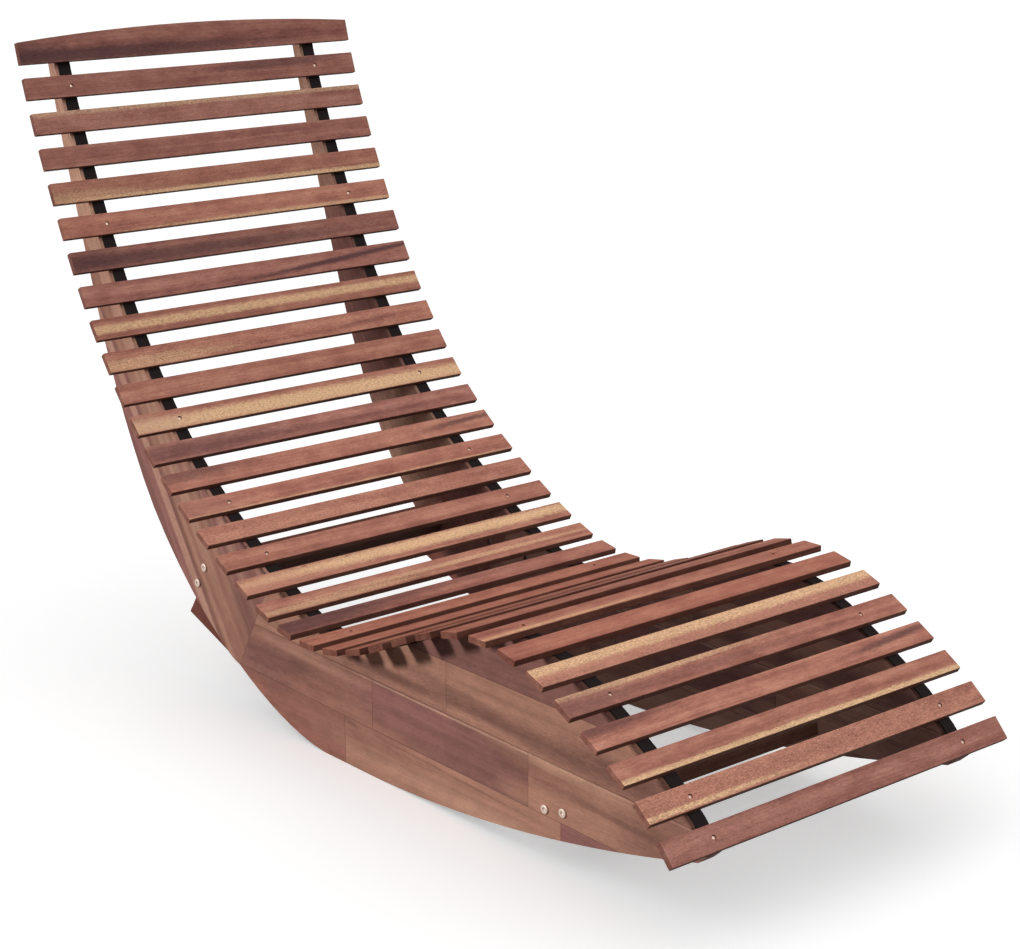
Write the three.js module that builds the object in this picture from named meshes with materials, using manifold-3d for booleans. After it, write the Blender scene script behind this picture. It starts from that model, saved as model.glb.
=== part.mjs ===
// Rocking chaise lounge: hardwood slats on two curved side frames that rock on their lower edges.
// Millimetres, +X towards the foot end, +Y to the sitter's left, +Z up.

import * as THREE from 'three';
import { mergeVertices } from 'three/addons/utils/BufferGeometryUtils.js';
import Module from 'manifold-3d';

// Slats, numbered from the head end
const slatCount = 35;
const slatSpacing = 53.8;
const slatWidth = 33;
const slatThickness = 9;
const slatLength = 600;
const crownRise = 13;

// Lean of every second slat in degrees: steep at the head, level in the seat, up and over the knee
const headLeans = [ - 74, - 68, - 65, - 62, - 56, - 50, - 41, - 33, - 29, - 20 ];
const footLeans = [ 1, 19, 25, 13, - 12, - 28, - 32, - 48 ];
const leans = [ ...headLeans, ...footLeans ];
const slatsPerLean = 2;

// Screwed slats and their counterbored holes
const screwedSlats = [ 2, 6, 12, 15, 17, 21, 28, 31, 34, 35 ];
const screwInset = 76.5;
const screwSeatRadius = 3;
const screwSeatDepth = 4;
const screwPilotRadius = 1.5;

// Webbing between the slats and the frames
const webbingWidth = 20;
const webbingThickness = 1.5;
const webbingTail = 15;

// Side frames
const panelThickness = 25;
const frameShift = - 3;
const headReach = 15;
const noseReach = 16.5;
const noseDepth = 20;

// Seam between back and seat panel, placed in shares of a spacing before this slat
const seamSlat = 18;
const seamTopShare = 0.25;
const seamFootShare = 0.4;
const seamLength = 176;

// Depth of the back panel under every second slat, as shares of the seam's length
const backDepthShares = [ 0.11, 0.155, 0.22, 0.31, 0.45, 0.6, 0.78, 0.925, 1.012 ];

// Rocker edge of the seat panel: a flat under this station of the slat line, between two arcs
const rockerStation = 21.15;
const seatRise = 180.4;
const rockerFlat = 112;
const rockerLiftShare = 0.6;
const rockerHandleShare = 0.34;
const rockerFacet = 25;

// Joint plates across the foot of the seam
const plateWidth = 64;
const plateThickness = 20;
const plateBehind = 168.5;
const plateAhead = 78;
const plateDrop = 27;
const plateTilt = 19.8;
const plateEndAngle = 76;

// Stretchers between the side frames
const stretcherWidth = 60;
const stretcherThickness = 22;
const rearStretcherSetback = 6;
const rearStretcherLift = 5.9;
const frontStretcherReach = 426;
const frontStretcherRise = 37;

// Frame bolts, two into each stretcher end
const boltSpread = 34;
const boltHeadRadius = 6.2;
const boltHeadHeight = 2.5;
const boltHeadChamfer = 0.8;
const boltShankRadius = 3;
const boltGrip = 45;

// Barrel nuts and the tie rod that runs through them across the seam
const tieDepthShare = 0.332;
const tieTilt = 4;
const tieBehind = 28;
const tieAhead = 58.5;
const tieTail = 8;
const tieRadius = 3;
const nutRadius = 5;
const nutLength = 19;
const nutSink = 3;

// Gap between pieces that seat on each other, fit of a bar in its bore, overrun of a cut
const seatingGap = 0.3;
const boreFit = 0.3;
const cutOverrun = 2;

// Counts of facets
const boreSides = 16;
const crownSides = 12;
const edgeSides = 24;

const degree = Math.PI / 180;
const sides = [ { name: 'right', sign: - 1 }, { name: 'left', sign: 1 } ];
const screwLine = slatLength / 2 - screwInset;
const webbingTop = seatingGap;
const webbingUnderside = webbingTop + webbingThickness;
const panelTop = webbingUnderside + seatingGap;

const oiledHardwood = new THREE.MeshStandardMaterial( { color: 0xa86c5c, roughness: 0.62, metalness: 0 } );
const panelHardwood = new THREE.MeshStandardMaterial( { color: 0x96695a, roughness: 0.68, metalness: 0 } );
const blackWebbing = new THREE.MeshStandardMaterial( { color: 0x1e191c, roughness: 0.9, metalness: 0 } );
const brightSteel = new THREE.MeshStandardMaterial( { color: 0xc4c4c6, roughness: 0.3, metalness: 1 } );

const wasm = await Module();
wasm.setup();

const lounge = new THREE.Group();

function addPiece( name, geometry, material ) {

	const piece = new THREE.Mesh( geometry, material );
	piece.name = name;
	lounge.add( piece );
	return piece;

}

// Closed geometry to solid, and back

function solidOf( geometry ) {

	const bare = geometry.clone();
	bare.deleteAttribute( 'normal' );
	bare.deleteAttribute( 'uv' );
	const merged = mergeVertices( bare );
	const vertProperties = new Float32Array( merged.attributes.position.array );
	const triVerts = new Uint32Array( merged.index.array );
	return new wasm.Manifold( new wasm.Mesh( { numProp: 3, vertProperties, triVerts } ) );

}

function geometryOf( solid ) {

	const mesh = solid.getMesh();
	const geometry = new THREE.BufferGeometry();
	geometry.setAttribute( 'position', new THREE.BufferAttribute( mesh.vertProperties, 3 ) );
	geometry.setIndex( new THREE.BufferAttribute( mesh.triVerts, 1 ) );
	return geometry;

}

function cutBy( geometry, tools ) {

	let solid = solidOf( geometry );
	for ( const tool of tools ) solid = solid.subtract( solidOf( tool ) );
	return geometryOf( solid );

}

// Round bar along Y
function crossBar( radius, place, fromY, toY ) {

	const bar = new THREE.CylinderGeometry( radius, radius, Math.abs( toY - fromY ), boreSides );
	return bar.translate( place.x, ( fromY + toY ) / 2, place.y );

}

// Board sawn to an outline in the XZ plane
function sawnBoard( outline, lowY, highY ) {

	const options = { depth: highY - lowY, bevelEnabled: false };
	const board = new THREE.ExtrudeGeometry( new THREE.Shape( outline ), options );
	board.rotateX( Math.PI / 2 );
	return board.translate( 0, highY, 0 );

}

// Slat line: points of the XZ plane, reckoned from the middle of the first slat's underside

function along( lean ) {

	return new THREE.Vector2( Math.cos( lean * degree ), Math.sin( lean * degree ) );

}

function square( lean ) {

	return new THREE.Vector2( Math.sin( lean * degree ), - Math.cos( lean * degree ) );

}

function moved( point, direction, distance ) {

	return point.clone().addScaledVector( direction, distance );

}

// Lean at any station, as a smooth curve through the given ones; station 1 is the first slat
function leanAt( station ) {

	const last = leans.length - 1;
	const i = Math.min( Math.floor( ( station - 1 ) / slatsPerLean ), last - 1 );
	const t = ( station - 1 ) / slatsPerLean - i;
	const before = i > 0 ? leans[ i - 1 ] : 2 * leans[ 0 ] - leans[ 1 ];
	const after = i + 2 <= last ? leans[ i + 2 ] : 2 * leans[ last ] - leans[ last - 1 ];
	const turn = leans[ i + 1 ] - leans[ i ];
	const turnIn = ( leans[ i + 1 ] - before ) / 2;
	const turnOut = ( after - leans[ i ] ) / 2;
	const bend = 3 * turn - 2 * turnIn - turnOut;
	const twist = turnIn + turnOut - 2 * turn;
	return leans[ i ] + t * ( turnIn + t * ( bend + t * twist ) );

}

// Each slat lies one spacing beyond the last, along the mean of the two leans
const slats = [];

for ( let number = 1; number <= slatCount; number ++ ) {

	const last = slats.at( - 1 );
	const lean = leanAt( number );
	const turned = last ? ( last.lean + lean ) / 2 : lean;
	const foot = last ? moved( last.foot, along( turned ), slatSpacing ) : new THREE.Vector2();
	slats.push( { lean, foot } );

}

// Point a distance along a slat from its middle and a depth below its underside
function underSlat( number, distance, depth ) {

	const { lean, foot } = slats[ number - 1 ];
	return moved( moved( foot, along( lean ), distance ), square( lean ), depth );

}

// The same at any station between two slats
function underStation( station, depth ) {

	const before = Math.floor( station );
	const lean = leanAt( station );
	const { lean: startLean, foot } = slats[ before - 1 ];
	const start = moved( foot, along( ( startLean + lean ) / 2 ), ( station - before ) * slatSpacing );
	return moved( start, square( lean ), depth );

}

// Corners midway between slats of a line that runs straight under each of them
function slatLine( first, last, depth ) {

	const corners = [];
	for ( let number = first; number < last; number ++ ) {

		const { lean, foot } = slats[ number - 1 ];
		const next = slats[ number ].lean;
		const stretch = 1 / Math.cos( ( next - lean ) / 2 * degree );
		const corner = moved( foot, along( lean ), slatSpacing / 2 * stretch );
		corners.push( moved( corner, square( ( lean + next ) / 2 ), depth * stretch ) );

	}

	return corners;

}

// Slats

function plainSlat() {

	return new THREE.BoxGeometry( slatWidth, slatLength, slatThickness );

}

function crownedSlat() {

	const shape = new THREE.Shape();
	shape.moveTo( slatWidth / 2, - slatLength / 2 );
	shape.lineTo( slatWidth / 2, slatLength / 2 );
	shape.lineTo( - slatWidth / 2, slatLength / 2 );
	shape.quadraticCurveTo( - slatWidth / 2 - 2 * crownRise, 0, - slatWidth / 2, - slatLength / 2 );
	const options = { depth: slatThickness, bevelEnabled: false, curveSegments: crownSides };
	return new THREE.ExtrudeGeometry( shape, options ).translate( 0, 0, - slatThickness / 2 );

}

function screwHole( radius, depth, y ) {

	const hole = new THREE.CylinderGeometry( radius, radius, depth + cutOverrun, boreSides );
	hole.rotateX( Math.PI / 2 );
	return hole.translate( 0, y, ( slatThickness + cutOverrun - depth ) / 2 );

}

function screwHoles( side ) {

	const y = side.sign * screwLine;
	const pilot = screwHole( screwPilotRadius, slatThickness + cutOverrun, y );
	return [ screwHole( screwSeatRadius, screwSeatDepth, y ), pilot ];

}

slats.forEach( ( { lean, foot }, index ) => {

	const number = index + 1;
	let geometry = number === 1 ? crownedSlat() : plainSlat();
	if ( screwedSlats.includes( number ) ) geometry = cutBy( geometry, sides.flatMap( screwHoles ) );
	const slat = addPiece( 'slat_' + String( number ).padStart( 2, '0' ), geometry, oiledHardwood );
	const middle = moved( foot, square( lean ), - slatThickness / 2 );
	slat.position.set( middle.x, 0, middle.y );
	slat.rotation.y = - lean * degree;

} );

// Webbing straps

function webbingFace( depth ) {

	const start = underSlat( 1, - webbingTail, depth );
	const end = underSlat( slatCount, webbingTail, depth );
	return [ start, ...slatLine( 1, slatCount, depth ), end ];

}

for ( const side of sides ) {

	const outline = [ ...webbingFace( webbingUnderside ), ...webbingFace( webbingTop ).reverse() ];
	const middle = side.sign * screwLine;
	const strap = sawnBoard( outline, middle - webbingWidth / 2, middle + webbingWidth / 2 );
	addPiece( 'webbing_' + side.name, strap, blackWebbing );

}

// Where each side frame stands across the lounge

for ( const side of sides ) {

	side.middleY = side.sign * screwLine + frameShift;
	side.lowY = side.middleY - panelThickness / 2;
	side.highY = side.middleY + panelThickness / 2;
	side.outerY = side.middleY + side.sign * panelThickness / 2;
	side.innerY = side.middleY - side.sign * panelThickness / 2;

}

// Seam

const seamTop = underSlat( seamSlat, - seamTopShare * slatSpacing, panelTop );
const seamFoot = underStation( seamSlat - seamFootShare, seamLength );
const seamDown = seamFoot.clone().sub( seamTop ).normalize();
const seamAhead = new THREE.Vector2( - seamDown.y, seamDown.x );

function seamEnds( sign ) {

	return [ seamTop, seamFoot ].map( ( end ) => moved( end, seamAhead, sign * seatingGap / 2 ) );

}

// Rocker

const rockerMiddle = moved( underStation( rockerStation, 0 ), along( - 90 ), seatRise );
const noseFoot = underSlat( slatCount, noseReach, noseDepth );

function rockerRadius( end ) {

	const reach = end.x - rockerMiddle.x;
	const rise = end.y - rockerMiddle.y;
	return ( reach * reach + rise * rise ) / ( 2 * rise );

}

function rockerPoint( radius, distance, height ) {

	const angle = Math.asin( distance / ( radius - height ) );
	const y = rockerMiddle.y + radius - ( radius - height ) * Math.cos( angle );
	return new THREE.Vector2( rockerMiddle.x + distance, y );

}

// Edge from the end of the flat, where it lifts off gently, to its own end, where it runs like its arc
function rockerEdge( end ) {

	const radius = rockerRadius( end );
	const reach = end.x - rockerMiddle.x;
	const start = moved( rockerMiddle, along( 0 ), Math.sign( reach ) * rockerFlat / 2 );
	const lift = rockerLiftShare * Math.asin( ( start.x - rockerMiddle.x ) / radius );
	const rise = Math.asin( reach / radius );
	const handle = rockerHandleShare * ( end.x - start.x );
	const startHandle = moved( start, along( lift / degree ), handle );
	const endHandle = moved( end, along( rise / degree ), - handle );
	const curve = new THREE.CubicBezierCurve( start, startHandle, endHandle, end );
	return curve.getPoints( Math.round( Math.abs( end.x - start.x ) / rockerFacet ) );

}

// Stretchers: the rear one above the joint plate, set back from its end, the front one along the rocker

function onPlate( u, v ) {

	return moved( moved( seamFoot, along( - plateTilt ), u ), along( 90 - plateTilt ), v );

}

function plateEnd( height ) {

	return - plateBehind + height / Math.tan( plateEndAngle * degree );

}

const plateEndSine = Math.sin( plateEndAngle * degree );
const plateEndCosine = Math.cos( plateEndAngle * degree );
const rearHeight = stretcherWidth * plateEndSine + stretcherThickness * plateEndCosine;
const rearRise = plateWidth + rearStretcherLift + rearHeight / 2;
const rearReach = plateEnd( rearRise ) + ( rearStretcherSetback + stretcherThickness / 2 ) / plateEndSine;
const frontRadius = rockerRadius( noseFoot );
const frontTilt = Math.asin( frontStretcherReach / ( frontRadius - frontStretcherRise ) ) / degree;
const rearMiddle = onPlate( rearReach, rearRise - plateDrop );
const frontMiddle = rockerPoint( frontRadius, frontStretcherReach, frontStretcherRise );

const stretchers = [
	{ name: 'rear', tilt: plateEndAngle - plateTilt, middle: rearMiddle },
	{ name: 'front', tilt: frontTilt, middle: frontMiddle }
];

for ( const stretcher of stretchers ) {

	stretcher.bolts = [
		{ name: 'a', place: moved( stretcher.middle, along( stretcher.tilt ), - boltSpread / 2 ) },
		{ name: 'b', place: moved( stretcher.middle, along( stretcher.tilt ), boltSpread / 2 ) }
	];

}

const [ rightSide, leftSide ] = sides;

for ( const { name, tilt, middle, bolts } of stretchers ) {

	const length = leftSide.innerY - rightSide.innerY - 2 * seatingGap;
	const board = new THREE.BoxGeometry( stretcherWidth, length, stretcherThickness );
	board.rotateY( - tilt * degree );
	board.translate( middle.x, ( leftSide.innerY + rightSide.innerY ) / 2, middle.y );
	const holes = sides.flatMap( ( { sign, innerY } ) => bolts.map( ( { place } ) => {

		const holeEnd = innerY - sign * ( boltGrip + boreFit );
		return crossBar( boltShankRadius + boreFit, place, innerY + sign * cutOverrun, holeEnd );

	} ) );
	addPiece( name + '_stretcher', cutBy( board, holes ), oiledHardwood );

}

// Frame bolts

function boltGeometry() {

	const shankEnd = - ( seatingGap + panelThickness + boltGrip );
	const profile = [
		new THREE.Vector2( 0, shankEnd ),
		new THREE.Vector2( boltShankRadius, shankEnd ),
		new THREE.Vector2( boltShankRadius, 0 ),
		new THREE.Vector2( boltHeadRadius, 0 ),
		new THREE.Vector2( boltHeadRadius, boltHeadHeight - boltHeadChamfer ),
		new THREE.Vector2( boltHeadRadius - boltHeadChamfer, boltHeadHeight ),
		new THREE.Vector2( 0, boltHeadHeight )
	];
	return new THREE.LatheGeometry( profile, boreSides );

}

for ( const stretcher of stretchers ) {

	for ( const side of sides ) {

		for ( const { name, place } of stretcher.bolts ) {

			const boltName = `${ stretcher.name }_bolt_${ side.name }_${ name }`;
			const bolt = addPiece( boltName, boltGeometry(), brightSteel );
			bolt.position.set( place.x, side.outerY + side.sign * seatingGap, place.y );
			if ( side.sign < 0 ) bolt.rotation.x = Math.PI;

		}

	}

}

// Barrel nuts and tie rods

const tieLine = along( - tieTilt );
const tieCrossing = moved( seamTop, seamDown, tieDepthShare * seamLength );
const nuts = [
	{ name: 'rear', place: moved( tieCrossing, tieLine, - tieBehind ) },
	{ name: 'front', place: moved( tieCrossing, tieLine, tieAhead ) }
];
const tieMiddle = nuts[ 0 ].place.clone().add( nuts[ 1 ].place ).divideScalar( 2 );
const tieLength = tieBehind + tieAhead + 2 * ( nutRadius + tieTail );

function tieBar( radius, length, side ) {

	const bar = new THREE.CylinderGeometry( radius, radius, length, boreSides );
	bar.rotateZ( - Math.PI / 2 );
	bar.rotateY( tieTilt * degree );
	return bar.translate( tieMiddle.x, side.middleY, tieMiddle.y );

}

function tieBores( side ) {

	const nutEnd = side.innerY + side.sign * ( nutSink + nutLength + boreFit );
	const sockets = nuts.map( ( { place } ) => {

		return crossBar( nutRadius + boreFit, place, side.innerY - side.sign * cutOverrun, nutEnd );

	} );
	return [ ...sockets, tieBar( tieRadius + boreFit, tieLength + 2 * boreFit, side ) ];

}

for ( const side of sides ) {

	for ( const { name, place } of nuts ) {

		const nutStart = side.innerY + side.sign * nutSink;
		const nut = crossBar( nutRadius, place, nutStart, nutStart + side.sign * nutLength );
		const bore = tieBar( tieRadius + boreFit, tieLength, side );
		addPiece( `barrel_nut_${ side.name }_${ name }`, cutBy( nut, [ bore ] ), brightSteel );

	}

	addPiece( 'tie_rod_' + side.name, tieBar( tieRadius, tieLength, side ), brightSteel );

}

// Side panels

function backOutline() {

	const [ top, foot ] = seamEnds( - 1 );
	const topEdge = [ underSlat( 1, - headReach, panelTop ), ...slatLine( 1, seamSlat, panelTop ), top ];
	const rearEdge = backDepthShares.map( ( share, i ) => {

		return underSlat( 1 + i * slatsPerLean, i === 0 ? - headReach : 0, share * seamLength );

	} );
	const curve = new THREE.SplineCurve( [ ...rearEdge, foot ].reverse() );
	return [ ...topEdge, ...curve.getPoints( edgeSides ) ];

}

function seatOutline() {

	const [ top, foot ] = seamEnds( 1 );
	const noseTop = underSlat( slatCount, noseReach, panelTop );
	const topEdge = [ top, ...slatLine( seamSlat, slatCount, panelTop ), noseTop ];
	return [ ...topEdge, ...rockerEdge( noseFoot ).reverse(), ...rockerEdge( foot ) ];

}

function boltBores( side, stretcher ) {

	return stretcher.bolts.map( ( { place } ) => {

		return crossBar( boltShankRadius + boreFit, place, side.lowY - cutOverrun, side.highY + cutOverrun );

	} );

}

const [ rearStretcher, frontStretcher ] = stretchers;

for ( const side of sides ) {

	const back = sawnBoard( backOutline(), side.lowY, side.highY );
	const backBores = [ ...tieBores( side ), ...boltBores( side, rearStretcher ) ];
	addPiece( 'back_panel_' + side.name, cutBy( back, backBores ), panelHardwood );
	const seat = sawnBoard( seatOutline(), side.lowY, side.highY );
	const seatBores = [ ...tieBores( side ), ...boltBores( side, frontStretcher ) ];
	addPiece( 'seat_panel_' + side.name, cutBy( seat, seatBores ), panelHardwood );

}

// Joint plates, each on the left face of its panel

for ( const side of sides ) {

	const outline = [
		onPlate( plateEnd( 0 ), - plateDrop ),
		onPlate( plateAhead, - plateDrop ),
		onPlate( plateAhead, plateWidth - plateDrop ),
		onPlate( plateEnd( plateWidth ), plateWidth - plateDrop )
	];
	const lowY = side.highY + seatingGap;
	addPiece( 'joint_plate_' + side.name, sawnBoard( outline, lowY, lowY + plateThickness ), panelHardwood );

}

// The lounge stands on the floor, with its origin under the middle of its box
const box = new THREE.Box3().setFromObject( lounge );
const middle = box.getCenter( new THREE.Vector3() );
lounge.position.set( - middle.x, - middle.y, - box.min.z );

export default lounge;
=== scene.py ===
# Rocking chaise lounge in oiled hardwood: finishes, fasteners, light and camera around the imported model
import math

import bpy
from mathutils import Matrix, Vector


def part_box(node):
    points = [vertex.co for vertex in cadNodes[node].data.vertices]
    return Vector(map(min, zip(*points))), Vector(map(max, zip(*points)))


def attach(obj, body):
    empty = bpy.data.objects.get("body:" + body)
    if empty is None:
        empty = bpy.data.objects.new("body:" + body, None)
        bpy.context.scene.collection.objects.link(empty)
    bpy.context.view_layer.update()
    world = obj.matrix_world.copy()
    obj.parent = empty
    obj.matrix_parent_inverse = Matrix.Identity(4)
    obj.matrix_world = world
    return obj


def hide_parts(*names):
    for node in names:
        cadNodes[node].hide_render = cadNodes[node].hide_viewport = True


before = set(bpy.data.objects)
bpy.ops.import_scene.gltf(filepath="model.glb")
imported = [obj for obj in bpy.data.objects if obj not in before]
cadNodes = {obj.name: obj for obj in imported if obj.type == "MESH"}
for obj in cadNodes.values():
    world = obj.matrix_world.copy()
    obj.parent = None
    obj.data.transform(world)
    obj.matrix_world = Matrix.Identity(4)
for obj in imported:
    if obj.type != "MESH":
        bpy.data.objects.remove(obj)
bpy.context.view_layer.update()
mm = 0.001
print("frame loaded with", len(cadNodes), "nodes")


def addObject(name, data):
    made = bpy.data.objects.new(name, data)
    bpy.context.scene.collection.objects.link(made)
    return made


# Camera, as the picture was taken
cameraSettings = {
    "place": (2.4600, -2.0262, 1.2685),
    "azimuth": 49.61,
    "elevation": 15.80,
    "focalPixels": 2361.79,
    "pictureWidth": 1020,
    "sensorWidth": 36,
}


def placeCamera(settings):
    data = bpy.data.cameras.new("camera")
    data.sensor_width = settings["sensorWidth"]
    data.lens = settings["focalPixels"] / settings["pictureWidth"] * settings["sensorWidth"]
    camera = addObject("camera", data)
    camera.location = settings["place"]
    turn = math.radians(settings["azimuth"])
    tilt = math.radians(90 - settings["elevation"])
    camera.rotation_euler = (tilt, 0, turn)
    bpy.context.scene.camera = camera


placeCamera(cameraSettings)
print("camera placed")


# Small helpers for node trees: a node, a sum, a soft step, a mix of colours
def put(tree, kind, sockets=None, **settings):
    node = tree.nodes.new(kind if kind.startswith("NodeGroup") else "ShaderNode" + kind)
    for name, value in settings.items():
        setattr(node, name, value)
    for name, value in (sockets or {}).items():
        if isinstance(value, bpy.types.NodeSocket):
            tree.links.new(value, node.inputs[name])
        else:
            node.inputs[name].default_value = value
    return node


def maths(tree, operation, *values, clamp=False):
    return put(tree, "Math", dict(enumerate(values)), operation=operation, use_clamp=clamp).outputs[0]


def vectorMaths(tree, operation, *values, output=0):
    return put(tree, "VectorMath", dict(enumerate(values)), operation=operation).outputs[output]


def towards(tree, normal, direction):
    # 1 where the surface faces the direction, -1 where it faces away
    return vectorMaths(tree, "DOT_PRODUCT", normal, direction, output=1)


def ease(tree, value, low, high, start=0.0, end=1.0):
    sockets = {0: value, 1: low, 2: high, 3: start, 4: end}
    return put(tree, "MapRange", sockets, interpolation_type="SMOOTHSTEP").outputs[0]


def mixColour(tree, share, first, second, mode="MIX"):
    return put(tree, "Mix", {0: share, 6: first, 7: second}, data_type="RGBA", blend_type=mode).outputs[2]


def multiply(tree, colour, other):
    return mixColour(tree, 1.0, colour, other, "MULTIPLY")


def noise(tree, place, stretch, detail=2.0, roughness=0.5):
    stretched = vectorMaths(tree, "MULTIPLY", place, stretch)
    sockets = {"Vector": stretched, "Scale": 1.0, "Detail": detail, "Roughness": roughness}
    return put(tree, "TexNoise", sockets).outputs[0]


def softBand(tree, value, middle, half, soft):
    # 1 within half of the middle, falling to 0 over the soft width
    away = maths(tree, "ABSOLUTE", maths(tree, "SUBTRACT", value, middle))
    inside = maths(tree, "SUBTRACT", half, away)
    return maths(tree, "MULTIPLY_ADD", inside, 1 / soft, 0.5, clamp=True)


def ramp(tree, value, stops):
    node = put(tree, "ValToRGB", {0: value})
    elements = node.color_ramp.elements
    while len(elements) < len(stops):
        elements.new(0.5)
    for element, (position, colour) in zip(elements, stops):
        element.position = position
        element.color = (*colour, 1)
    return node.outputs[0]


def linear(red, green, blue):
    # screen colour of 0 to 255 as the shader's own; every colour here is above the curve's straight foot
    return tuple(((v / 255 + 0.055) / 1.055) ** 2.4 for v in (red, green, blue))


def scaled(colour, factor):
    return tuple(v * factor for v in colour)


def emptyTree(owner):
    owner.use_nodes = True
    owner.node_tree.nodes.clear()
    return owner.node_tree


def newMaterial(name, sockets):
    material = bpy.data.materials.new(name)
    tree = emptyTree(material)
    surface = put(tree, "BsdfPrincipled", sockets)
    put(tree, "OutputMaterial", {"Surface": surface.outputs[0]})
    return material, tree, surface


def relieve(tree, surface, height, finish):
    bump = put(tree, "Bump", {"Height": height, "Strength": finish["bump"], "Distance": finish["relief"]})
    tree.links.new(bump.outputs[0], surface.inputs["Normal"])


def wear(node, material):
    node.data.materials.clear()
    node.data.materials.append(material)


# Grain shared by all the hardwood, reckoned in millimetres with Y along the fibres
# layers: stretch, detail and roughness of each noise, and the levels between which it rises from 0 to 1
# shares: broad bands, narrow lines and clouds make the figure, short dashes and fibres the fine grain
grainSettings = {
    "seedStep": (71.0, 910.0, 37.0),
    "wander": 14,
    "wanderStretch": (0.004, 0.0035, 0.004),
    "layers": {
        "bands": ((0.085, 0.0013, 0.085), 2.0, 0.5, 0.28, 0.72),
        "lines": ((0.42, 0.006, 0.42), 3.0, 0.55, 0.3, 0.7),
        "clouds": ((0.05, 0.022, 0.05), 3.0, 0.6, 0.3, 0.7),
        "dashes": ((0.8, 0.1, 0.8), 2.0, 0.55, 0.25, 0.75),
        "fibres": ((2.2, 0.05, 2.2), 3.0, 0.65, 0.25, 0.75),
        "pores": ((1.9, 0.13, 1.9), 1.0, 0.5, 0.64, 0.74),
        "flecks": ((0.95, 0.24, 0.95), 2.0, 0.6, 0.25, 0.75),
    },
    "straightLayers": ("clouds", "flecks"),
    "figureShares": {"bands": 0.42, "lines": 0.2, "clouds": 0.38},
    "fineShares": {"dashes": 0.65, "fibres": 0.35},
}


def weighedSum(tree, layers, shares):
    total = 0.0
    for name, share in shares.items():
        total = maths(tree, "MULTIPLY_ADD", layers[name], share, total)
    return total


def buildGrain(settings):
    tree = bpy.data.node_groups.new("woodGrain", "ShaderNodeTree")
    face = tree.interface
    face.new_socket("Place", in_out="INPUT", socket_type="NodeSocketVector")
    face.new_socket("Seed", in_out="INPUT", socket_type="NodeSocketFloat")
    for name in ("Figure", "Fine", "Fibre", "Pores", "Flecks", "Feather"):
        face.new_socket(name, in_out="OUTPUT", socket_type="NodeSocketFloat")
    given = put(tree, "NodeGroupInput")
    seed, start = given.outputs["Seed"], given.outputs["Place"]
    seeded = vectorMaths(tree, "MULTIPLY_ADD", seed, settings["seedStep"], start)
    drift = noise(tree, seeded, settings["wanderStretch"])
    shift = maths(tree, "MULTIPLY_ADD", drift, settings["wander"], -settings["wander"] / 2)
    bent = vectorMaths(tree, "ADD", seeded, put(tree, "CombineXYZ", {0: shift}).outputs[0])
    layers = {}
    for name, (stretch, detail, roughness, low, high) in settings["layers"].items():
        place = seeded if name in settings["straightLayers"] else bent
        layers[name] = ease(tree, noise(tree, place, stretch, detail, roughness), low, high)
    made = {
        "Figure": weighedSum(tree, layers, settings["figureShares"]),
        "Fine": weighedSum(tree, layers, settings["fineShares"]),
        "Fibre": layers["fibres"],
        "Pores": layers["pores"],
        "Flecks": layers["flecks"],
        "Feather": maths(tree, "SUBTRACT", layers["dashes"], 0.5),
    }
    put(tree, "NodeGroupOutput", made)
    return tree


woodGrain = buildGrain(grainSettings)

woodColours = {
    "plain": linear(166, 111, 95),
    "deep": linear(136, 86, 75),
    "light": linear(190, 136, 115),
    "heart": linear(94, 64, 63),
    "sap": linear(228, 190, 147),
    "tan": linear(166, 121, 102),
    "brown": linear(150, 106, 91),
    "russet": linear(147, 99, 86),
    "rose": linear(164, 120, 106),
    "mauve": linear(146, 101, 94),
    "plum": linear(131, 91, 83),
    "umber": linear(114, 79, 71),
    "pale": linear(198, 156, 132),
    "dark": linear(116, 70, 61),
    "pore": linear(80, 48, 40),
}

# rim of a patch, in shares of its half width: where it ends, where it is full and how far the grain frays it
# thinnest: what is left of a speckled patch between its flecks
patchRims = {
    "speckledWoods": ("sap", "pale", "light"),
    "speckled": {"end": 1.35, "full": 0.6, "fray": 1.0, "thinnest": 0.5},
    "smooth": {"end": 1.5, "full": 0.35, "fray": 0.35},
}


def shade(tree, colour, value, low, high):
    return multiply(tree, colour, ease(tree, value, 0, 1, low, high))


def blend(tree, share, colour, name):
    return mixColour(tree, share, colour, (*woodColours[name], 1))


def patch(tree, colour, grain, along, across, feather, look):
    # long soft oval of another wood: its colour, middle, half length, line, half width, slope and strength
    name, middle, halfLength, line, halfWidth, slope, strength = look
    offset = maths(tree, "SUBTRACT", along, middle)
    height = maths(tree, "SUBTRACT", maths(tree, "MULTIPLY_ADD", offset, -slope, across), line)
    sides = {0: maths(tree, "DIVIDE", offset, halfLength), 1: maths(tree, "DIVIDE", height, halfWidth)}
    reach = vectorMaths(tree, "LENGTH", put(tree, "CombineXYZ", sides).outputs[0], output=1)
    speckled = name in patchRims["speckledWoods"]
    rim = patchRims["speckled" if speckled else "smooth"]
    reach = maths(tree, "MULTIPLY_ADD", grain["Feather"], rim["fray"] * feather, reach)
    share = ease(tree, reach, rim["end"], rim["full"], 0.0, strength)
    if speckled:
        share = maths(tree, "MULTIPLY", share, ease(tree, grain["Flecks"], 0, 1, rim["thinnest"], 1.0))
    return blend(tree, share, colour, name)


def finishWood(tree, surface, grain, colour, finish):
    # pores, roughness between and on the fibres, and their relief
    colour = blend(tree, maths(tree, "MULTIPLY", grain["Pores"], finish["poreTone"]), colour, "pore")
    tree.links.new(colour, surface.inputs["Base Color"])
    rough = ease(tree, grain["Fibre"], 0, 1, *finish["roughness"])
    tree.links.new(rough, surface.inputs["Roughness"])
    height = maths(tree, "MULTIPLY_ADD", grain["Pores"], -finish["poreDepth"], grain["Fibre"])
    relieve(tree, surface, height, finish)


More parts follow.
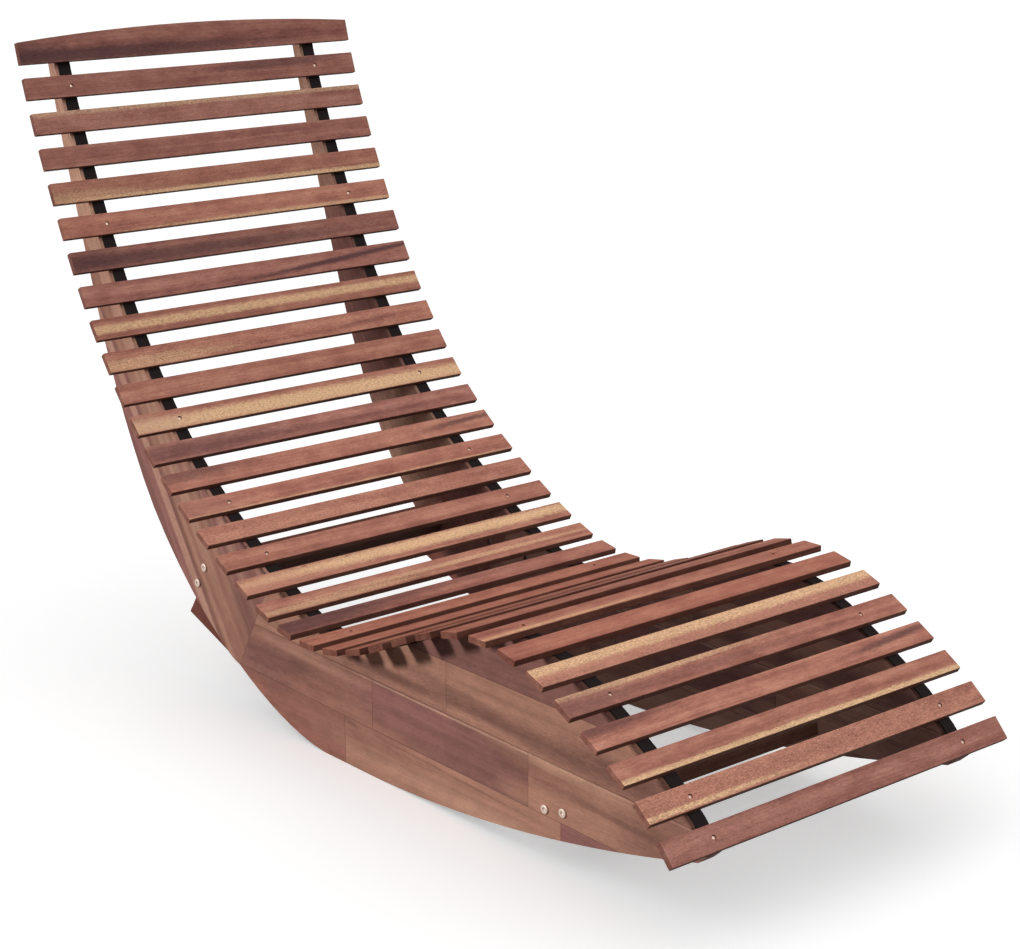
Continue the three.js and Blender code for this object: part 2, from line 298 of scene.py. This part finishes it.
# corners nearer than joinWithin are joined, and edges that turn by more than leastAngle degrees are eased
edgeSettings = {"joinWithin": 0.01 * mm, "leastAngle": 30}


def softenEdges(node, finish):
    weld = node.modifiers.new("join corners", "WELD")
    weld.merge_threshold = edgeSettings["joinWithin"]
    bevel = node.modifiers.new("eased edges", "BEVEL")
    bevel.width = finish["chamfer"]
    bevel.segments = finish["chamferSteps"]
    bevel.limit_method = "ANGLE"
    bevel.angle_limit = math.radians(edgeSettings["leastAngle"])
    normals = node.modifiers.new("smooth shading", "WEIGHTED_NORMAL")
    normals.keep_sharp = False


# Slats: each with its own tone, streaks, sapwood and dark heart, in millimetres from its middle:
# along from the right (-300) to the left end (300), across from the upper (-16.5) to the lower edge (16.5)
# figureWoods: how strong the figure is where each wood shows
# the edge and end tones: by how far the surface turns to the lower long edge, or to either end; painted shade
# on the long edges, painted highlights on the arrises, and end grain that is darker, partly painted shade
slatFinish = {
    "roughness": (0.72, 0.54),
    "gloss": 0.04,
    "feather": 0.7,
    "figureWoods": {"deep": 0.05, "plain": 0.5, "light": 1.0},
    "fineTones": (0.86, 1.12),
    "fleckReach": (-0.24, 0.2),
    "patchFacing": (0.4, 0.8),
    "edgeShadeAndHighlight": [(0.0, 0.75), (0.17, 1.18), (0.3, 1.0), (0.7, 1.0), (0.78, 0.8), (0.9, 0.3)],
    "endGrainShadeAndHighlight": [(0.3, 1.0), (0.65, 1.22), (0.95, 0.62)],
    "chamfer": 1.1 * mm,
    "chamferSteps": 2,
    "bump": 0.35,
    "relief": 0.35 * mm,
    "poreDepth": 1.2,
    "poreTone": 0.55,
}

# tone and tint of a whole slat, how speckled it is, and its patches of other woods; the tones are partly the
# wood's own and partly painted light and shade
plainSlat = {"tone": 1.0, "tint": (1, 1, 1), "speckle": 0.3, "patches": []}
plumTint = (0.94, 0.95, 1.03)
rustTint = (0.98, 0.86, 0.82)
slatLooks = {
    1: {
        "tone": 0.87,
        "tint": plumTint,
        "patches": [("heart", -190, 330, 7, 11, 0, 0.85), ("heart", -295, 70, 0, 20, 0, 0.5)],
    },
    2: {"tone": 0.89, "tint": plumTint, "patches": [("heart", 135, 120, -9, 8, -0.02, 0.6)]},
    3: {"tone": 0.92, "tint": plumTint, "speckle": 0.6, "patches": [("sap", 0, 900, -15, 5.5, 0, 0.6)]},
    4: {"tone": 0.91, "tint": plumTint},
    5: {
        "tone": 0.93,
        "speckle": 0.6,
        "patches": [("sap", 150, 430, 14.5, 5, 0, 0.95), ("sap", -250, 110, 8, 9, 0, 0.45)],
    },
    6: {"tone": 1.13, "patches": [("sap", 190, 330, 14.5, 4, 0, 0.6)]},
    7: {
        "tone": 0.84,
        "tint": plumTint,
        "patches": [("heart", -130, 330, 4, 11, 0, 0.7), ("heart", -290, 90, 0, 16, 0, 0.6)],
    },
    8: {"tone": 1.0, "tint": plumTint, "patches": [("heart", 178, 190, -2, 4.5, -0.071, 0.95)]},
    9: {"tone": 0.98, "patches": [("sap", 0, 900, -1, 6.5, -0.008, 0.85)]},
    10: {
        "tone": 1.08,
        "speckle": 0.7,
        "patches": [("sap", -240, 150, 6, 9, 0, 0.5), ("heart", 170, 60, 2, 3.5, -0.06, 0.4)],
    },
    11: {"tone": 1.02},
    12: {"tone": 1.04, "patches": [("sap", 30, 620, 5, 11, 0, 1.0), ("pale", -290, 90, 3, 13, 0, 0.7)]},
    13: {
        "tone": 1.05,
        "tint": plumTint,
        "patches": [("heart", -250, 200, 0, 15, 0, 0.55), ("heart", -20, 260, 5, 9, 0, 0.2)],
    },
    14: {
        "tone": 1.13,
        "patches": [("heart", -280, 130, -10, 12, 0, 0.65), ("heart", 240, 80, -3, 5, -0.06, 0.75)],
    },
    15: {"tone": 1.18, "patches": [("sap", 0, 500, 15.5, 2.5, 0, 0.35), ("plum", -290, 90, 0, 20, 0, 0.4)]},
    16: {"tone": 1.04, "speckle": 0.8, "patches": [("light", -180, 220, 4, 12, 0, 0.5)]},
    18: {"tone": 1.03, "patches": [("sap", 60, 430, -4, 10, 0, 0.9), ("light", -260, 100, 4, 15, 0, 0.6)]},
    19: {
        "tone": 0.99,
        "speckle": 0.5,
        "patches": [("sap", -200, 170, 9, 6, 0, 0.5), ("sap", 60, 260, 0, 4, 0, 0.55)],
    },
    20: {
        "tone": 0.92,
        "tint": (0.96, 0.92, 0.95),
        "patches": [("heart", -280, 200, -3, 24, 0, 0.85), ("heart", -60, 200, -9, 8, 0, 0.35)],
    },
    # slats 21 to 27 and 29 are darkened as painted shade
    21: {"tone": 0.94, "tint": (0.97, 0.88, 0.84)},
    22: {"tone": 0.83, "tint": rustTint},
    23: {"tone": 0.7, "tint": rustTint},
    24: {"tone": 0.7, "tint": rustTint},
    25: {"tone": 0.7, "tint": rustTint},
    26: {"tone": 0.64, "tint": rustTint},
    27: {"tone": 0.84, "tint": rustTint, "patches": [("heart", 60, 260, 6, 8, 0, 0.3)]},
    28: {"tone": 0.99, "tint": (0.98, 0.92, 0.89), "patches": [("sap", -200, 190, 11, 4, 0, 0.65)]},
    29: {"tone": 0.89, "tint": (1.0, 0.88, 0.86), "patches": [("light", -100, 260, 6, 6, 0, 0.4)]},
    30: {
        "tone": 1.05,
        "speckle": 0.6,
        "patches": [("light", 0, 900, 4, 22, 0, 0.6), ("sap", 0, 900, -9, 9, 0, 0.8)],
    },
    31: {
        "tone": 1.04,
        "tint": (0.99, 0.98, 1.0),
        "speckle": 0.5,
        "patches": [
            ("sap", -200, 230, -13, 5, 0, 0.7),
            ("heart", -100, 260, 3, 7, 0, 0.35),
            ("plum", -290, 100, 4, 20, 0, 0.7),
        ],
    },
    32: {
        "tone": 1.14,
        "patches": [("heart", 235, 90, -4, 5.5, -0.06, 0.8), ("heart", -290, 120, -12, 9, 0, 0.65)],
    },
    33: {"tone": 1.03, "patches": [("sap", 0, 900, 14, 5, 0, 0.95)]},
    34: {
        "tone": 1.07,
        "speckle": 0.9,
        "patches": [("light", -100, 500, 0, 22, 0, 0.5), ("sap", -230, 150, 11, 3.5, 0, 0.8)],
    },
    35: {"tone": 0.95, "tint": plumTint, "speckle": 0.5, "patches": [("light", -220, 170, 0, 14, 0, 0.5)]},
}


slatNodes = {number: cadNodes[f"slat_{number:02d}"] for number in range(1, 36)}


def slatPlace(number):
    # middle and lean of a slat, from the four corners of its end
    mesh = slatNodes[number].data
    end = min(v.co.y for v in mesh.vertices)
    corners = {(round(v.co.x, 6), round(v.co.z, 6)) for v in mesh.vertices if v.co.y < end + 0.1 * mm}
    middle = [sum(c[i] for c in corners) / len(corners) for i in (0, 1)]
    first = min(corners)
    # of the three other corners, the middle one by distance lies at the far end of the same long side
    far = sorted(corners, key=lambda c: math.dist(c, first))[2]
    lean = math.atan2(far[1] - first[1], far[0] - first[0])
    return Vector((middle[0], 0, middle[1])), lean


def slatMaterial(name, number, middle, lean):
    look = {**plainSlat, **slatLooks.get(number, {})}
    finish = slatFinish
    material, tree, surface = newMaterial(name, {"Specular IOR Level": finish["gloss"]})
    seen = put(tree, "TexCoord").outputs
    turned = {"Vector": seen["Object"], "Location": middle, "Rotation": (0, -lean, 0), "Scale": (mm, mm, mm)}
    place = put(tree, "Mapping", turned, vector_type="TEXTURE").outputs[0]
    grain = put(tree, "Group", {"Place": place, "Seed": number}, node_tree=woodGrain).outputs
    across, along, _ = put(tree, "SeparateXYZ", {0: place}).outputs

    # the patches lie on the two broad faces
    stops = [(stop, woodColours[wood]) for wood, stop in finish["figureWoods"].items()]
    bare = colour = ramp(tree, grain["Figure"], stops)
    for one in look["patches"]:
        colour = patch(tree, colour, grain, along, across, finish["feather"], one)
    facing = maths(tree, "ABSOLUTE", towards(tree, seen["Normal"], (-math.sin(lean), 0, math.cos(lean))))
    colour = mixColour(tree, ease(tree, facing, *finish["patchFacing"]), bare, colour)
    colour = shade(tree, colour, grain["Fine"], *finish["fineTones"])
    colour = shade(tree, colour, grain["Flecks"], *(1 + look["speckle"] * v for v in finish["fleckReach"]))

    # painted shade on the long edges, deepest on the lower one, and painted highlights along the arrises; the
    # sawn end grain is darker, partly its own colour and partly painted shade, with a painted highlight on
    # its chamfers
    down = towards(tree, seen["Normal"], (math.cos(lean), 0, math.sin(lean)))
    edge = maths(tree, "MULTIPLY_ADD", down, 0.5, 0.5)
    ending = maths(tree, "ABSOLUTE", towards(tree, seen["Normal"], (0, 1, 0)))
    for value, tones in ((edge, finish["edgeShadeAndHighlight"]), (ending, finish["endGrainShadeAndHighlight"])):
        tone = ramp(tree, value, [(stop, (level, level, level)) for stop, level in tones])
        colour = multiply(tree, colour, tone)
    colour = multiply(tree, colour, (*scaled(look["tint"], look["tone"]), 1))
    finishWood(tree, surface, grain, colour, finish)
    return material


for number, slat in slatNodes.items():
    wear(slat, slatMaterial(f"slatWood{number:02d}", number, *slatPlace(number)))
    softenEdges(slat, slatFinish)
print("slats finished")


# Side panels, glued up from boards: nearly level rows in the seat panels, slanting ones in the back panels
panelFinish = {
    "roughness": (0.76, 0.58),
    "gloss": 0.04,
    "feather": 0.5,
    "figureTones": (0.84, 1.17),
    "fineTones": (0.9, 1.1),
    "slatSide": (0.45, 0, 0.89),
    "slatSideFacing": (0.2, 0.5),
    "chamfer": 1.2 * mm,
    "chamferSteps": 2,
    "bump": 0.3,
    "relief": 0.3 * mm,
    "poreDepth": 1.0,
    "poreTone": 0.45,
    "glueLine": 0.45,
    "glueSoftness": 0.5,
    "glueTone": 0.5,
    "boardSeedStep": 3.7,
}

# rows: height over the middle of the lounge and slope of each joint between rows, from below
# boards: row, start and end along it, wood; all in millimetres
# the edge tone of each layout is painted shade on the long edge under the slats, deep on the seat panels and
# light on the back panels
seatBoards = {
    "slant": 0.0,
    "slatShadeTone": 0.38,
    "rows": [(69.7, -0.017), (142.2, -0.014), (212.5, -0.005)],
    "boards": [
        (0, -900, 10, "russet"), (0, 10, 456, "tan"), (0, 456, 900, "mauve"),
        (1, -900, 73, "brown"), (1, 73, 394, "plum"), (1, 394, 900, "tan"),
        (2, -900, 232, "tan"), (2, 232, 900, "tan"), (3, -900, 900, "plum"),
    ],
    "patches": [
        ("plum", -190, 135, 100, 27, 0.02, 0.95),
        ("umber", -95, 45, 108, 14, 0.1, 0.45),
        ("russet", -80, 60, 82, 22, 0.1, 0.45),
        ("pale", -60, 150, 131, 8, -0.03, 0.3),
        ("brown", 50, 130, 56, 30, 0, 1.0),
        ("umber", 95, 135, 158, 9, -0.03, 0.75),
        ("umber", 40, 60, 147, 14, 0, 0.35),
        ("umber", 370, 260, 158, 13, -0.09, 0.65),
        ("mauve", 150, 140, 114, 28, 0, 0.85),
        ("plum", -160, 50, 70, 16, 0, 0.6),
        ("tan", 385, 45, 76, 14, 0, 0.8),
        ("pale", 340, 110, 18, 15, 0, 0.35),
        # painted shade towards the foot end of the seat panels, set for the far one's inner face
        ("umber", 655, 95, 92, 60, 0, 0.55),
        ("umber", 290, 120, 158, 6, -0.02, 0.4),
        ("umber", 620, 170, 158, 18, -0.05, 0.75),
        ("pale", 330, 330, 134.9, 1.8, -0.014, 0.75),
        ("brown", 370, 60, 122, 13, -0.2, 0.6),
        ("umber", 200, 90, 100, 12, -0.03, 0.25),
        ("umber", 530, 170, 100, 5, -0.06, 0.4),
        ("brown", 440, 60, 112, 14, -0.1, 0.5),
        ("umber", 25, 16, 63, 4, -0.1, 0.6),
        ("umber", 250, 170, 55, 2, -0.04, 0.4),
        ("pale", 470, 150, 128, 7, -0.03, 0.35),
        ("pale", 250, 300, 25, 14, -0.02, 0.25),
    ],
}
backSlant = math.atan2(0.83, 0.55)
backBoards = {
    "slant": backSlant,
    "slatShadeTone": 0.9,
    "rows": [(-190, 0), (-109, 0), (-42, 0)],
    "boards": [
        (0, -2000, 900, "mauve"), (1, -2000, 900, "brown"), (2, -2000, 900, "mauve"), (3, -2000, 900, "rose"),
    ],
    "patches": [
        ("plum", -500, 900, -236, 10, 0, 0.4),
        ("pale", -420, 900, -201, 8, 0, 0.7),
        ("umber", -420, 500, -187, 3, 0, 0.4),
        ("pale", -400, 400, -175, 7, 0, 0.35),
        ("pale", -620, 330, -150, 16, 0, 0.65),
        ("pale", -560, 320, -115, 14, 0, 0.45),
        ("plum", -420, 600, -112, 6, 0, 0.4),
        ("pale", -560, 400, -80, 12, 0, 0.5),
        ("pale", -1030, 200, -128, 60, 0, 0.9),
        ("umber", -240, 60, -85, 40, 0, 0.5),
    ],
}
# the far back panel's patches are painted light at the head and lower down, and painted shade between, on its
# inner face
farBoards = {
    "slant": backSlant,
    "slatShadeTone": 0.55,
    "rows": [],
    "boards": [(0, -2000, 900, "mauve")],
    "patches": [
        ("pale", -1085, 200, -110, 120, 0, 1.0),
        ("umber", -685, 130, -150, 200, 0, 0.5),
        ("pale", -480, 95, -160, 200, 0, 0.85),
    ],
}
plateBoards = {
    "slant": math.radians(19.8),
    "slatShadeTone": 1.0,
    "rows": [],
    "boards": [(0, -900, 900, "dark")],
    "patches": [("heart", 60, 200, 20, 4, 0.02, 0.4)],
}


def boardMaterial(name, layout, seed):
    finish = panelFinish
    material, tree, surface = newMaterial(name, {"Specular IOR Level": finish["gloss"]})
    seen = put(tree, "TexCoord").outputs
    turned = {"Vector": seen["Object"], "Rotation": (0, layout["slant"], 0), "Scale": (mm, mm, mm)}
    place = put(tree, "Mapping", turned, vector_type="TEXTURE").outputs[0]
    along, depth, height = put(tree, "SeparateXYZ", {0: place}).outputs

    # number of the row, and how near the next glue line lies
    glue = (finish["glueLine"], finish["glueSoftness"])
    row, lines = 0.0, 0.0
    for level, slope in layout["rows"]:
        over = maths(tree, "SUBTRACT", maths(tree, "MULTIPLY_ADD", along, -slope, height), level)
        row = maths(tree, "ADD", maths(tree, "GREATER_THAN", over, 0.0), row)
        lines = maths(tree, "MAXIMUM", softBand(tree, over, 0, *glue), lines)
    colour, cell = (0, 0, 0, 1), 0.0
    for count, (boardRow, first, last, wood) in enumerate(layout["boards"]):
        inRow = maths(tree, "COMPARE", row, boardRow, 0.5)
        inside = maths(tree, "COMPARE", along, (first + last) / 2, (last - first) / 2)
        board = maths(tree, "MULTIPLY", inRow, inside)
        colour = blend(tree, board, colour, wood)
        cell = maths(tree, "MULTIPLY_ADD", board, finish["boardSeedStep"] * count, cell)
        joint = maths(tree, "MULTIPLY", softBand(tree, along, last, *glue), inRow)
        lines = maths(tree, "MAXIMUM", joint, lines)

    # the grain's own X runs across the board and its Y along it
    swapped = put(tree, "CombineXYZ", {0: height, 1: along, 2: depth}).outputs[0]
    seeds = {"Place": swapped, "Seed": maths(tree, "ADD", cell, seed)}
    grain = put(tree, "Group", seeds, node_tree=woodGrain).outputs
    for one in layout["patches"]:
        colour = patch(tree, colour, grain, along, height, finish["feather"], one)
    colour = shade(tree, colour, grain["Figure"], *finish["figureTones"])
    colour = shade(tree, colour, grain["Fine"], *finish["fineTones"])
    colour = shade(tree, colour, lines, 1.0, finish["glueTone"])

    # painted shade on the long edge that the slats lie on
    under = ease(tree, towards(tree, seen["Normal"], finish["slatSide"]), *finish["slatSideFacing"])
    colour = shade(tree, colour, under, 1.0, layout["slatShadeTone"])
    finishWood(tree, surface, grain, colour, finish)
    return material


# panel, its boards and its seed
panelLooks = [
    ("seat_panel_right", seatBoards, 0),
    ("seat_panel_left", seatBoards, 40),
    ("back_panel_right", backBoards, 20),
    ("back_panel_left", farBoards, 60),
    ("joint_plate_right", plateBoards, 9),
    ("joint_plate_left", plateBoards, 49),
]
for name, layout, seed in panelLooks:
    wear(cadNodes[name], boardMaterial(name + "_wood", layout, seed))
    softenEdges(cadNodes[name], panelFinish)

# the stretchers wear slat wood, under numbers of their own
for number, end in ((41, "rear"), (42, "front")):
    node = cadNodes[end + "_stretcher"]
    wear(node, slatMaterial(end + "StretcherWood", number, Vector((0, 0, 0)), 0.0))
    softenEdges(node, panelFinish)
print("panels finished")


# Webbing
webbingFinish = {
    "black": linear(24, 20, 20),
    "ridge": linear(45, 37, 37),
    "pitch": 1.4,
    "roughness": 0.85,
    "gloss": 0.06,
    "bump": 0.6,
    "relief": 0.3 * mm,
}


def webbingMaterial(finish):
    # a weave of sines: X less Z grows along the straps from head to foot, Y across them
    sockets = {"Roughness": finish["roughness"], "Specular IOR Level": finish["gloss"]}
    material, tree, surface = newMaterial("blackWebbing", sockets)
    place = vectorMaths(tree, "SCALE", put(tree, "TexCoord").outputs["Object"])
    place.node.inputs["Scale"].default_value = math.tau / finish["pitch"] / mm
    split = put(tree, "SeparateXYZ", {0: place}).outputs
    weft = maths(tree, "SINE", maths(tree, "SUBTRACT", split[0], split[2]))
    warp = maths(tree, "SINE", split[1])
    ridge = ease(tree, maths(tree, "MULTIPLY", weft, warp), -1, 1)
    colour = ramp(tree, ridge, [(0.0, finish["black"]), (1.0, finish["ridge"])])
    tree.links.new(colour, surface.inputs["Base Color"])
    relieve(tree, surface, ridge, finish)
    return material


blackWebbing = webbingMaterial(webbingFinish)
for side in ("right", "left"):
    wear(cadNodes["webbing_" + side], blackWebbing)


# Steel: bright for bolts and screws, dull for barrel nuts and tie rods
steelFinish = {
    "scratchDetail": 3.0,
    "scratchRoughness": 0.7,
    "scratchLevels": (0.3, 0.7),
    "scratchTone": 0.82,
    "roughnessReach": (0.1, -0.06),
    "bump": 0.2,
    "relief": 0.05 * mm,
}

# colour, metallic, roughness, stretch of the scratches
steelLooks = {
    "brightSteel": (linear(212, 190, 176), 0.75, 0.42, (60, 60, 900)),
    "screwSteel": (linear(240, 208, 190), 0.4, 0.4, (400, 400, 400)),
    "dullSteel": (linear(120, 112, 108), 0.9, 0.55, (300, 60, 300)),
}


def steelMaterial(name, finish):
    tint, metallic, roughness, brush = steelLooks[name]
    material, tree, surface = newMaterial(name, {"Metallic": metallic})
    place = put(tree, "TexCoord").outputs["Object"]
    scratches = noise(tree, place, brush, finish["scratchDetail"], finish["scratchRoughness"])
    low, high = finish["scratchLevels"]
    colour = ramp(tree, scratches, [(low, scaled(tint, finish["scratchTone"])), (high, tint)])
    tree.links.new(colour, surface.inputs["Base Color"])
    rough = ease(tree, scratches, low, high, *(roughness + v for v in finish["roughnessReach"]))
    tree.links.new(rough, surface.inputs["Roughness"])
    relieve(tree, surface, scratches, finish)
    return material


steels = {name: steelMaterial(name, steelFinish) for name in steelLooks}
for name, node in cadNodes.items():
    if "_bolt_" in name:
        wear(node, steels["brightSteel"])
    elif "nut" in name or "rod" in name:
        wear(node, steels["dullSteel"])
print("webbing and steel finished")


# Turned fasteners: rings of one outline each, stacked along Z
fastenerSettings = {"sides": 48, "crossArm": 0.32, "sharpAngle": 35}
outlineTurns = {"hex": math.pi / 3, "cross": math.pi / 2}


def outlineRadius(shape, size, angle):
    if shape == "round":
        return size
    turn = outlineTurns[shape]
    off = (angle + turn / 2) % turn - turn / 2
    flat = size / math.cos(off)
    if shape == "hex" or off == 0:
        return flat
    return min(flat, fastenerSettings["crossArm"] * size / abs(math.sin(off)))


def ringedMesh(name, rings, material):
    # closed at both ends by a middle point; each ring is (shape, size, height) in millimetres
    points, faces = [], []
    sides = fastenerSettings["sides"]
    for shape, size, height in rings:
        for i in range(sides):
            angle = math.tau * i / sides
            radius = outlineRadius(shape, size, angle)
            points.append((radius * math.cos(angle) * mm, radius * math.sin(angle) * mm, height * mm))
    for ring in range(len(rings) - 1):
        low, high = ring * sides, (ring + 1) * sides
        for i in range(sides):
            k = (i + 1) % sides
            faces.append((low + i, low + k, high + k, high + i))
    for ring, flip in ((0, True), (len(rings) - 1, False)):
        centre = len(points)
        points.append((0, 0, rings[ring][2] * mm))
        for i in range(sides):
            a, b = ring * sides + i, ring * sides + (i + 1) % sides
            faces.append((b, a, centre) if flip else (a, b, centre))
    mesh = bpy.data.meshes.new(name)
    mesh.from_pydata(points, [], faces)
    mesh.validate()
    for polygon in mesh.polygons:
        polygon.use_smooth = True
    mesh.set_sharp_from_angle(angle=math.radians(fastenerSettings["sharpAngle"]))
    mesh.materials.append(material)
    return mesh


def addFastener(name, mesh, place, axis):
    piece = addObject(name, mesh)
    piece.matrix_world = Matrix.Translation(place) @ axis.to_track_quat("Z", "Y").to_matrix().to_4x4()
    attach(piece, "root")
    return piece


# Slat screws, sunk in their counterbores: cross recess in a rounded head
screwSettings = {
    "slats": (2, 6, 12, 15, 17, 21, 28, 31, 34, 35),
    "sideways": 223.5 * mm,
    "seat": 0.5 * mm,
    "rings": [
        ("round", 0.2, -25), ("round", 1.3, -20), ("round", 1.3, 0), ("round", 2.2, 0), ("round", 2.4, 0.3),
        ("round", 2.4, 1.4), ("round", 2.15, 2.0), ("round", 1.6, 2.3),
        ("cross", 1.0, 2.35), ("cross", 0.8, 1.7),
    ],
}
screwMesh = ringedMesh("slatScrew", screwSettings["rings"], steels["screwSteel"])
for number in screwSettings["slats"]:
    middle, lean = slatPlace(number)
    up = Vector((-math.sin(lean), 0, math.cos(lean)))
    for side, sign in (("right", -1), ("left", 1)):
        place = middle + up * screwSettings["seat"] + Vector((0, sign * screwSettings["sideways"], 0))
        addFastener(f"slat_screw_{number:02d}_{side}", screwMesh, place, up)

# Frame bolts: hexagon socket in a flat head
boltSettings = {
    "headHeight": 2.5 * mm,
    "rings": [
        ("round", 2.4, -70), ("round", 3.0, -69), ("round", 3.0, 0), ("round", 6.0, 0), ("round", 6.2, 0.3),
        ("round", 6.2, 1.6), ("round", 5.95, 2.15), ("round", 5.4, 2.5), ("round", 3.2, 2.5),
        ("hex", 2.3, 2.35), ("hex", 2.2, 0.9), ("round", 1.6, 0.6),
    ],
}
boltMesh = ringedMesh("frameBolt", boltSettings["rings"], steels["brightSteel"])
for name in [n for n in cadNodes if "_bolt_" in n]:
    low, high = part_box(name)
    middle = (low + high) / 2
    outward = -1 if "right" in name else 1
    head = (low.y if outward < 0 else high.y) - outward * boltSettings["headHeight"]
    seat = Vector((middle.x, head, middle.z))
    bolt = addFastener(name + "_turned", boltMesh, seat, Vector((0, outward, 0)))
    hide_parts(name)
print("fasteners made")


# Floor, light and background
# floorUnseen: what the floor throws back on the lounge, darker than the camera sees it
studio = {
    "floorSize": 60,
    "floorGlow": 0.44,
    "floorColour": (0.876, 0.88, 0.882, 1),
    "floorUnseen": (0.15, 0.15, 0.15, 1),
    "horizon": 0.1,
    "zenith": 0.42,
    "lampDistance": 4,
}

# each lamp: the side it stands on, its strength, spread in degrees and colour
lampLooks = {
    "keyLamp": ((-0.337, -0.856, 0.335), 2.4, 9, (1, 1, 1)),
    "topLamp": ((0.68, -0.13, 0.72), 2.02, 50, (1, 1, 1)),
    "floorLamp": ((0, 0, 1), 1.25, 140, (1, 1, 1)),
    "insideLamp": ((-0.2, -0.96, 0.2), 1.1, 14, (1, 1, 1)),
    "rearLamp": ((-0.7, 0.7, 0.14), 1.5, 50, (1, 1, 1)),
    "bounceLamp": ((0, -1, 0.1), 0.43, 40, (0.9, 1.0, 1.15)),
}


def seenShare(tree):
    # 1 for what the camera, gloss and glass see
    rays = put(tree, "LightPath").outputs
    gloss = maths(tree, "MAXIMUM", rays["Is Glossy Ray"], rays["Is Transmission Ray"])
    return maths(tree, "MAXIMUM", rays["Is Camera Ray"], gloss)


def layFloor(settings):
    half = settings["floorSize"] / 2
    mesh = bpy.data.meshes.new("floor")
    corners = [(-half, -half, 0), (half, -half, 0), (half, half, 0), (-half, half, 0)]
    mesh.from_pydata(corners, [], [(0, 1, 2, 3)])
    floor = addObject("floor", mesh)
    material = bpy.data.materials.new("paleFloor")
    tree = emptyTree(material)
    glow = put(tree, "Emission", {"Color": (1, 1, 1, 1), "Strength": settings["floorGlow"]})
    pale = put(tree, "BsdfDiffuse", {"Color": settings["floorColour"]})
    seen = put(tree, "AddShader", {0: glow.outputs[0], 1: pale.outputs[0]})
    unseen = put(tree, "BsdfDiffuse", {"Color": settings["floorUnseen"]})
    mixed = put(tree, "MixShader", {0: seenShare(tree), 1: unseen.outputs[0], 2: seen.outputs[0]})
    put(tree, "OutputMaterial", {"Surface": mixed.outputs[0]})
    mesh.materials.append(material)
    return floor


def lightWorld(settings):
    world = bpy.data.worlds.new("studio")
    bpy.context.scene.world = world
    tree = emptyTree(world)
    height = put(tree, "SeparateXYZ", {0: put(tree, "TexCoord").outputs["Generated"]}).outputs[2]
    level = ease(tree, height, 0.0, 1.0, settings["horizon"], settings["zenith"])
    dome = put(tree, "Background", {"Color": (1, 1, 1, 1), "Strength": level})
    white = put(tree, "Background", {"Color": (1, 1, 1, 1), "Strength": 1.0})
    mixed = put(tree, "MixShader", {0: seenShare(tree), 1: dome.outputs[0], 2: white.outputs[0]})
    put(tree, "OutputWorld", {"Surface": mixed.outputs[0]})


def addSun(name, side, strength, spread, colour):
    data = bpy.data.lights.new(name, "SUN")
    data.energy = strength
    data.angle = math.radians(spread)
    data.color = colour
    lamp = addObject(name, data)
    lamp.rotation_euler = Vector(side).to_track_quat("Z", "Y").to_euler()
    lamp.location = Vector(side) * studio["lampDistance"]
    return lamp


def linkedGroup(name, objects, state):
    group = bpy.data.collections.new(name)
    for one in objects:
        group.objects.link(one)
    for link in group.collection_objects:
        link.light_linking.link_state = state
    return group


# the floor has only the dome and a wide overhead lamp of its own, so its shadow stays soft
# the key lamp is kept off the far frame and the top lamp off the far seat panel
# the inside lamp lights the far back panel alone
# the rear lamp is for the frames and the back slats, and leaves the rear edges of the seat slats dark
# the bounce lamp stands for light that the near frame throws back on the far seat panel, so the frame
# does not shade it
floor = layFloor(studio)
farSeat, farBack = cadNodes["seat_panel_left"], cadNodes["back_panel_left"]
seatSlats = [slatNodes[number] for number in range(19, 36)]
lampReach = {
    "keyLamp": ("EXCLUDE", [floor, farSeat, farBack]),
    "topLamp": ("EXCLUDE", [floor, farSeat]),
    "rearLamp": ("EXCLUDE", [floor, *seatSlats]),
    "floorLamp": ("INCLUDE", [floor]),
    "insideLamp": ("INCLUDE", [farBack]),
    "bounceLamp": ("INCLUDE", [farSeat]),
}
lightWorld(studio)
lamps = {name: addSun(name, *look) for name, look in lampLooks.items()}
for name, (state, objects) in lampReach.items():
    lamps[name].light_linking.receiver_collection = linkedGroup(name + "Reach", objects, state)
bounceShade = linkedGroup("bounceShade", [farSeat], "INCLUDE")
lamps["bounceLamp"].light_linking.blocker_collection = bounceShade
bpy.context.scene.view_settings.view_transform = "Standard"
print("studio lit")
